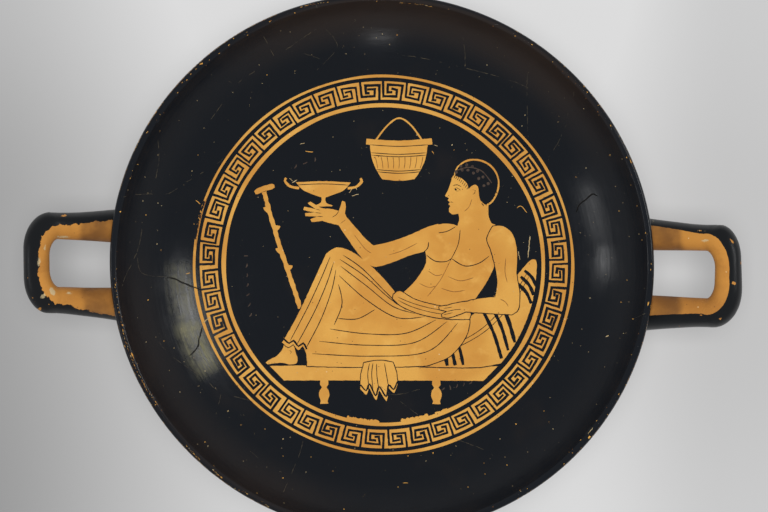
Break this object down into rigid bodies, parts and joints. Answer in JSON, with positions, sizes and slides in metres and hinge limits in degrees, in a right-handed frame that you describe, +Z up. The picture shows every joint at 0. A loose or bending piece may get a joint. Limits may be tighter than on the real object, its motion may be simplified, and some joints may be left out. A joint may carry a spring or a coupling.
{
  "type": "greek kylix cup",
  "caption": "Wide shallow footed drinking cup on a short stem, with a loop handle on each side; black gloss with a clay-coloured picture and key-pattern ring inside the bowl.",
  "frame": {"origin": "centre of the foot's underside, on the surface the cup stands on", "axes": "+Z up out of the bowl, X along the line through the two handles, Y across the bowl"},
  "size_m": [0.3199, 0.24, 0.095],
  "materials": {
    "black_gloss": "satin black gloss slip over fired orange clay"
  },
  "bodies": {
    "root": {"kylix": "black_gloss"}
  },
  "joints": []
}
